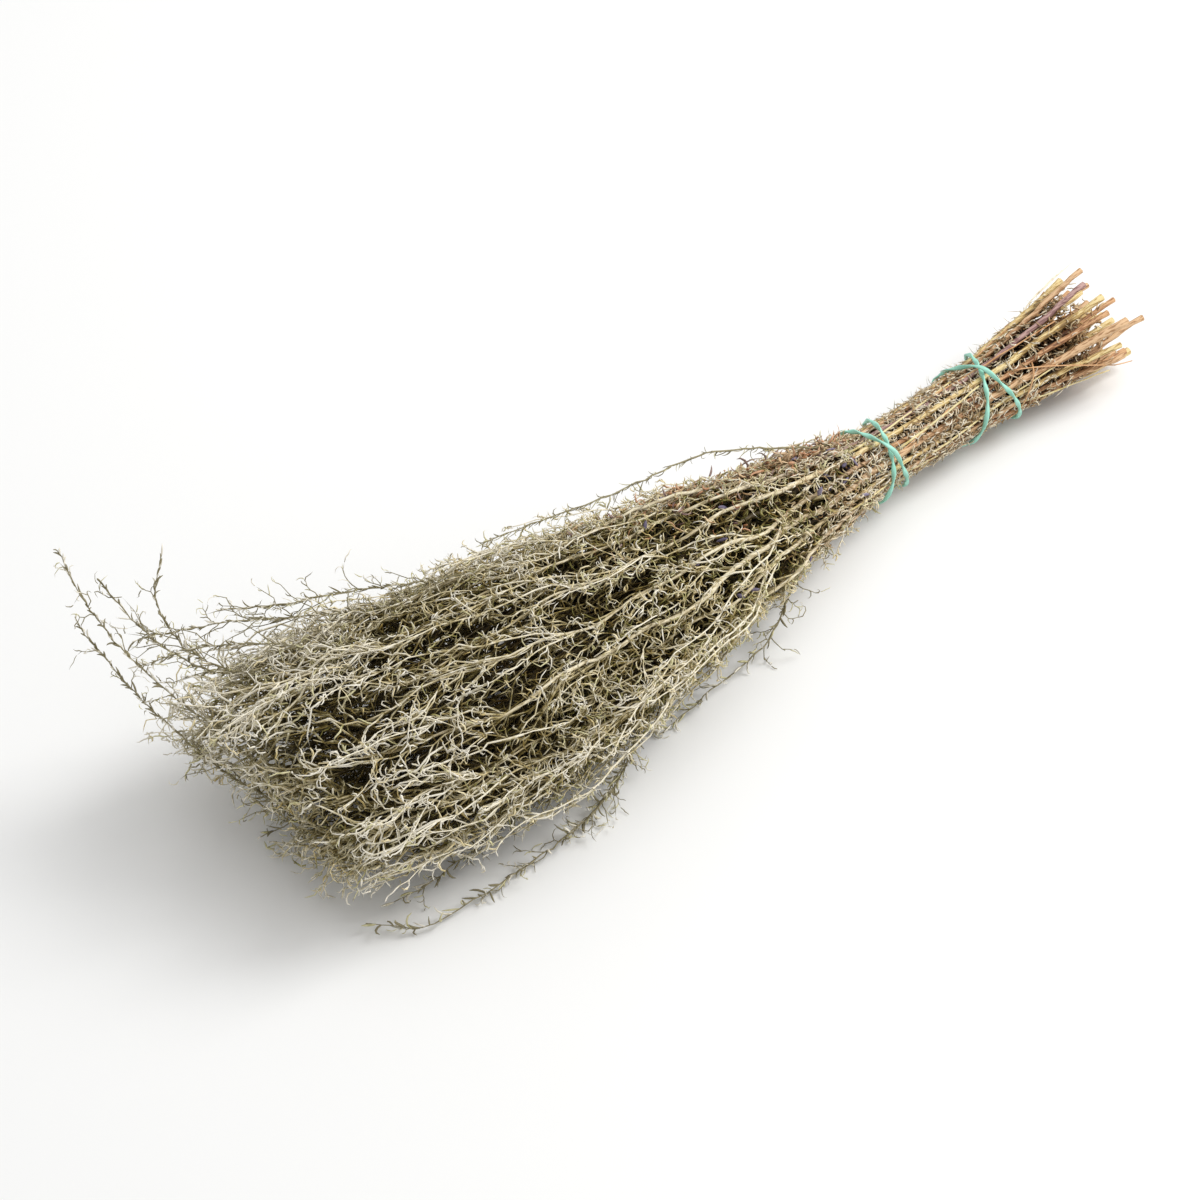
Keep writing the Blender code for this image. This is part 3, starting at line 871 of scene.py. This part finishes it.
def band_rubber():
    """Soft dyed rubber: satin, dusty where it was rolled, with faint stretch marks."""
    made, tree, shader = blank_material("mint_band_rubber", 0.5)
    place = add_node(tree, "ShaderNodeTexCoord").outputs["Object"]
    dust = add_node(tree, "ShaderNodeTexNoise", {"Vector": place, "Scale": 1 / (3 * MM), "Detail": 4.0})
    colour = two_tones(tree, dust.outputs[0], "#7BC6AE", "#B4E8D7")
    tree.links.new(colour, shader.inputs["Base Color"])
    roughened(tree, place, shader, 1.2 * MM, 0.3)
    return made


rubber = band_rubber()
band_section = section("band_section", BAND_WIDTH / 2, BAND_THICKNESS / 2, 10)
for name, *wound in BANDS:
    path = band_path(*wound)
    path = curve_through(np.vstack([path, path[:1]]), BAND_RINGS + 1)[:-1]
    strand = Strand(path, np.ones(BAND_RINGS), 0.0, 0)
    curve = strand_curve(f"{name}_loop", [strand], band_section, [rubber])
    spline = curve.data.splines[0]
    spline.use_cyclic_u = True
    turns = np.linspace(0, FULL_TURN, BAND_RINGS, endpoint=False)
    spline.points.foreach_set("tilt", BAND_TWISTS * turns + 0.8 * np.sin(5 * turns))
    band = welded_piece(f"mint_{name}", [curve], [rubber])
    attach(band, "root")
    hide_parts(name)


# --- Leaf litter in the tied handle ---
# The lower leaves have dried, curled and broken. A mat of their crumbs is caught on and between the
# stems, with feathery shreds along its far side, and a few bare side stalks lie across it.

LITTER_PIECES = 11200
LITTER_TAPER = np.array([0.6, 1.0, 0.8, 0.0])
SHREDS = 170
CAUGHT_REACH = 0.7 * MM  # a crumb whose middle comes this near a sprig, or another crumb, lies against it

growth_surface = BVHTree.FromBMesh(growth)
growth.free()


def caught(strands):
    """The strands that rest against a sprig, or against a strand that does. The others have fallen off."""
    spots = [np.vstack([strand.points, (strand.points[1:] + strand.points[:-1]) / 2]) for strand in strands]
    owners = np.repeat(np.arange(len(spots)), [len(near) for near in spots])
    nearby = KDTree(len(owners))
    for number, spot in enumerate(np.vstack(spots)):
        nearby.insert(spot, number)
    nearby.balance()
    resting = [
        any(growth_surface.find_nearest(spot, CAUGHT_REACH)[0] is not None for spot in near) for near in spots
    ]
    waiting = [order for order, rests in enumerate(resting) if rests]
    while waiting:
        for spot in spots[waiting.pop()]:
            for _, number, _ in nearby.find_range(spot, CAUGHT_REACH):
                if not resting[owners[number]]:
                    resting[owners[number]] = True
                    waiting.append(owners[number])
    return [strand for strand, rests in zip(strands, resting) if rests]


def around_bunch(stations, angles, shares, proud=0.0):
    """Points round the bunch: a share of the way out to its outline, and then a length further."""
    half_width, half_height, offset, middle_z = outline_at(stations)
    across = (half_width * shares + proud) * np.cos(angles)
    up = (half_height * shares + proud) * np.sin(angles)
    return np.column_stack([CUT_END_X - stations, MIDDLE_Y + offset + across, middle_z + up])


def lying(angles, swing, rise):
    """Headings along the bunch, swung round it by one angle and raised out of its side by another."""
    outward = np.column_stack([np.zeros_like(angles), np.cos(angles), np.sin(angles)])
    around = np.column_stack([np.zeros_like(angles), -np.sin(angles), np.cos(angles)])
    swing, rise = swing[:, None], rise[:, None]
    flat = np.array([1.0, 0.0, 0.0]) * np.cos(swing) + around * np.sin(swing)
    return flat * np.cos(rise) + outward * np.sin(rise), outward


dice = np.random.default_rng(77)
stations = dice.triangular(0.000, 0.105, 0.225, LITTER_PIECES)
angles = dice.uniform(0, FULL_TURN, LITTER_PIECES)
shares = dice.triangular(0.78, 1.13, 1.22, LITTER_PIECES)
shares -= 0.12 * np.clip(1 - stations / 0.05, 0, 1)
inner = dice.random(LITTER_PIECES) < 0.17  # these fill the space between the stems near their cut ends
stations[inner] = dice.triangular(0.006, 0.018, 0.065, inner.sum())
shares[inner] = dice.uniform(0.15, 1.0, inner.sum())
here = around_bunch(stations, angles, shares)
swing = dice.choice((0, math.pi), LITTER_PIECES) + dice.normal(0, 0.75, LITTER_PIECES)
heading, outward = lying(angles, swing, dice.normal(0, 0.13, LITTER_PIECES))
axis = squared(outward + dice.normal(0, 0.35, (LITTER_PIECES, 3)), heading)
lengths = dice.triangular(1.6, 3.2, 7.0, LITTER_PIECES) * MM
turn = dice.choice((-1, 1), LITTER_PIECES) * dice.uniform(0.1, 2.8, LITTER_PIECES)
crumbs = above_table(curled(here, heading, axis, lengths, turn, 4), 0.5 * MM)
litter_looks = (
    dried_growth("grey_tan_leaf_litter", "#452F12", "#7A6241", "#B39D77", "#E4D6BA"),
    dried_growth("brown_leaf_litter", "#38230C", "#624627", "#8F6F48", "#B99B73"),
    dried_growth("pale_leaf_litter", "#523D20", "#957E5A", "#D1C1A0", "#F0E7D3"),
    dried_growth("grey_green_leaf_shred", "#45412A", "#5F5C40", "#807C5E", "#A5A081"),
    dried_growth("rusty_side_stalk", "#6F4426", "#96613B", "#B98757", "#D3A77B"),
    dried_growth("straw_side_stalk", "#7E6632", "#AF9655", "#CEB878", "#E6D7A6"),
    dried_growth("tan_leaf_litter", "#4A2C12", "#80592F", "#B28C5C", "#D8BD95"),
)
looks = np.digitize(dice.random(LITTER_PIECES), (0.50, 0.72))
looks[inner] = dice.choice((0, 6, 6), inner.sum())
widths = dice.uniform(0.27, 0.54, LITTER_PIECES) * np.where(inner, 1.8, 1.0) * MM
strands = [
    Strand(crumb, width * LITTER_TAPER, tilt, int(look))
    for crumb, width, tilt, look in zip(crumbs, widths, dice.uniform(0, math.pi, LITTER_PIECES), looks)
]

stations = dice.uniform(0.020, 0.165, SHREDS)
angles = np.radians(dice.normal(40, 26, SHREDS))
here = around_bunch(stations, angles, 0.96)
heading, outward = lying(angles, dice.normal(math.pi, 0.9, SHREDS), dice.triangular(0.0, 0.35, 1.2, SHREDS))
axis = square_to(heading, dice.uniform(0, FULL_TURN, SHREDS))
lengths = dice.triangular(3, 6, 13, SHREDS) * MM
shreds = above_table(curled(here, heading, axis, lengths, dice.normal(0, 1.3, SHREDS), 6), 0.5 * MM)
taper = np.array([1.0, 0.9, 0.8, 0.7, 0.5, 0.0])
strands += [
    Strand(shred, dice.uniform(0.16, 0.34) * MM * taper, 0.0, int(look))
    for shred, look in zip(shreds, dice.choice((0, 3, 3), SHREDS))
]
litter = welded_piece(
    "handle_leaf_litter",
    [strand_curve("litter_curls", caught(strands), leaf_section, litter_looks)],
    litter_looks,
)
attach(litter, "root")

RUSTY, STRAWY, BLADE = 4, 5, 2  # the material slots of the side stalks
SIDE_STALKS = (  # first and last station, first and last angle in degrees, radius in mm, lift, look
    (0.128, 0.078, 132, 114, 0.75, 2.2, STRAWY),
    (0.130, 0.096, 140, 117, 0.50, 2.0, RUSTY),
    (0.062, -0.002, 119, 214, 0.50, 2.6, RUSTY),
    (0.058, 0.010, 186, 213, 0.60, 2.0, STRAWY),
    (0.050, 0.066, 128, 212, 0.45, 3.2, RUSTY),
    (0.034, -0.008, 42, 22, 0.42, 2.8, BLADE),
    (0.028, -0.001, 40, 24, 0.36, 3.2, BLADE),
    (0.150, 0.085, 96, 74, 0.70, 1.6, STRAWY),
    (0.118, 0.040, 176, 150, 0.65, 1.6, STRAWY),
    (0.104, 0.030, 76, 98, 0.60, 1.6, RUSTY),
    (0.165, 0.108, 170, 190, 0.60, 1.6, STRAWY),
    (0.095, 0.020, 60, 44, 0.55, 1.6, RUSTY),
    (0.160, 0.100, 8, -14, 0.60, 1.6, STRAWY),
    (0.120, 0.030, 236, 262, 0.60, 1.4, STRAWY),
    (0.070, -0.002, 300, 322, 0.60, 1.4, RUSTY),
    (0.110, 0.045, 348, 330, 0.55, 1.6, STRAWY),
)
strands = []
for first, last, start, end, radius, lift, look in SIDE_STALKS:
    share = np.linspace(0, 1, 11)
    proud = (1.0 + (lift - 1.0) * np.sin(math.pi * np.clip(1.25 * share, 0, 0.5) ** 0.7)) * MM
    path = around_bunch(first + (last - first) * share, np.radians(start + (end - start) * share), 1, proud)
    path += dice.normal(0, 0.12 * MM, path.shape)
    strands.append(Strand(path, radius * MM * np.linspace(0.85, 0.6, 11), 0.0, look))
stalks = welded_piece(
    "bare_side_stalks", [strand_curve("stalk_tubes", strands, branch_section, litter_looks)], litter_looks
)
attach(stalks, "root")


# --- Withered leaves and florets ---
# Leaves that withered red-brown along the bunch's upper far edge behind the second band, and dried
# violet florets of a flower that was picked with the wormwood, caught at the neck.

WITHERED_LEAVES = 520
BROAD_LEAVES = 60
FLORETS = 24
withered_looks = (
    dried_growth("withered_russet_leaf", "#4E2C17", "#8A5836", "#B5815A", "#D2A684"),
    dried_growth("withered_fawn_leaf", "#5A4022", "#98744B", "#C5A076", "#E0C49E"),
    dried_growth("withered_plum_leaf", "#33201E", "#553C38", "#79605A", "#9A837C"),
    dried_growth("dried_violet_petal", "#2E2935", "#4A4356", "#6A6276", "#8E859A"),
)
strip_section = section("strip_section", 1.0, 0.25, 4)
bud_section = section("bud_section", 1.0, 1.0, 6)
stations = dice.triangular(0.128, 0.160, 0.290, WITHERED_LEAVES)
angles = np.radians(dice.triangular(-20, 50, 115, WITHERED_LEAVES))
here = around_bunch(stations, angles, dice.uniform(0.94, 1.17, WITHERED_LEAVES))
heading = unit(dice.normal(0, 1, (WITHERED_LEAVES, 3)) * (1.4, 0.8, 0.8))
axis = square_to(heading, dice.uniform(0, FULL_TURN, WITHERED_LEAVES))
lengths = dice.triangular(2.5, 4.5, 10, WITHERED_LEAVES) * MM
turn = dice.uniform(0.5, 4.0, WITHERED_LEAVES)
curls = curled(here, heading, axis, lengths, turn, 5)
widths = dice.triangular(0.25, 0.36, 0.7, WITHERED_LEAVES) * MM
looks = np.digitize(dice.random(WITHERED_LEAVES), (0.38, 0.80))
strands = [
    Strand(curl, width * np.array([0.5, 1.0, 1.0, 0.7, 0.0]), tilt, int(look))
    for curl, width, tilt, look in zip(curls, widths, dice.uniform(0, math.pi, WITHERED_LEAVES), looks)
]
stations = dice.triangular(0.130, 0.165, 0.260, BROAD_LEAVES)
angles = np.radians(dice.triangular(0, 46, 100, BROAD_LEAVES))
here = around_bunch(stations, angles, dice.uniform(0.98, 1.15, BROAD_LEAVES))
swing = dice.normal(math.pi, 0.8, BROAD_LEAVES)
heading, outward = lying(angles, swing, dice.normal(0.05, 0.15, BROAD_LEAVES))
axis = squared(outward + dice.normal(0, 0.5, (BROAD_LEAVES, 3)), heading)
lengths = dice.triangular(6, 9, 16, BROAD_LEAVES) * MM
curls = curled(here, heading, axis, lengths, dice.uniform(1.0, 4.5, BROAD_LEAVES), 9, hook=1.4)
taper = np.array([0.35, 0.8, 1.0, 0.95, 0.85, 0.7, 0.55, 0.35, 0.0])
strands += [
    Strand(curl, dice.triangular(0.4, 0.6, 1.0) * MM * taper, dice.uniform(0, math.pi), int(look))
    for curl, look in zip(curls, dice.choice((0, 0, 1, 2), BROAD_LEAVES))
]
curves = [strand_curve("withered_strips", caught(strands), strip_section, withered_looks)]
stations = dice.triangular(0.130, 0.170, 0.270, FLORETS)
angles = np.radians(dice.triangular(10, 100, 220, FLORETS))
here = around_bunch(stations, angles, dice.uniform(0.98, 1.10, FLORETS))
heading = unit(dice.normal(0, 1, (FLORETS, 3)) * (1.5, 0.7, 0.7))
axis = square_to(heading, dice.uniform(0, FULL_TURN, FLORETS))
buds = curled(here, heading, axis, dice.uniform(3.0, 6.0, FLORETS) * MM, dice.normal(0, 0.5, FLORETS), 6)
taper = np.array([0.35, 0.8, 1.0, 0.9, 0.7, 0.25])
strands = [Strand(bud, dice.uniform(0.6, 1.05) * MM * taper, 0.0, 3) for bud in buds]
curves.append(strand_curve("floret_tubes", caught(strands), bud_section, withered_looks))
withered = welded_piece("withered_leaves_and_florets", curves, withered_looks)
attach(withered, "root")

strand_sections = (round_section, branch_section, twig_section, leaf_section, strip_section, bud_section)
for profile in (*strand_sections, band_section):
    bpy.data.objects.remove(profile)


# --- Table, light and camera ---
# A plain white table under one large soft light, low on the cut ends' near side, and a bright room.

TABLE_SIZE = 12.0
CAMERA_TARGET = (-0.0474, -0.0012, 0.0285)
CAMERA_DISTANCE = 1.439
CAMERA_AZIMUTH = math.radians(-39.28)
CAMERA_HEIGHT = math.radians(46.0)

shape = bmesh.new()
bmesh.ops.create_grid(shape, x_segments=1, y_segments=1, size=TABLE_SIZE / 2)
mesh = bpy.data.meshes.new("table")
shape.to_mesh(mesh)
shape.free()
table = bpy.data.objects.new("table", mesh)
bpy.context.scene.collection.objects.link(table)
paper, tree, shader = blank_material("white_table_paper", 0.9)
shader.inputs["Base Color"].default_value = to_linear("#F0F0EF")
shader.inputs["Specular IOR Level"].default_value = 0.1
mesh.materials.append(paper)


def aim(thing, place, target):
    """Puts a light or camera at a place, looking at a target."""
    thing.location = place
    ahead = [t - p for t, p in zip(target, place)]
    yaw = math.atan2(-ahead[0], ahead[1])
    pitch = math.atan2(math.hypot(ahead[0], ahead[1]), -ahead[2])
    thing.rotation_euler = (pitch, 0, yaw)
    bpy.context.scene.collection.objects.link(thing)


for name, place, size, power in (
    ("window_light", (1.42, -0.50, 1.50), 1.0, 33.5),
    ("ceiling_light", (0.2, 0.3, 2.2), 1.6, 7.0),
):
    light = bpy.data.lights.new(name, "AREA")
    light.shape = "SQUARE"
    light.size = size
    light.energy = power
    aim(bpy.data.objects.new(name, light), place, (0, 0, 0))

world = bpy.data.worlds.new("studio")
world.use_nodes = True
world.node_tree.nodes["Background"].inputs["Color"].default_value = (1, 1, 1, 1)
world.node_tree.nodes["Background"].inputs["Strength"].default_value = 0.62
bpy.context.scene.world = world
bpy.context.scene.view_settings.view_transform = "Standard"

lens = bpy.data.cameras.new("camera")
lens.lens = 110
lens.sensor_width = 36
lens.clip_end = 50
flat = math.cos(CAMERA_HEIGHT)
offset = (
    math.sin(CAMERA_AZIMUTH) * flat,
    -math.cos(CAMERA_AZIMUTH) * flat,
    math.sin(CAMERA_HEIGHT),
)
camera = bpy.data.objects.new("camera", lens)
place = [t + CAMERA_DISTANCE * o for t, o in zip(CAMERA_TARGET, offset)]
aim(camera, place, CAMERA_TARGET)
bpy.context.scene.camera = camera
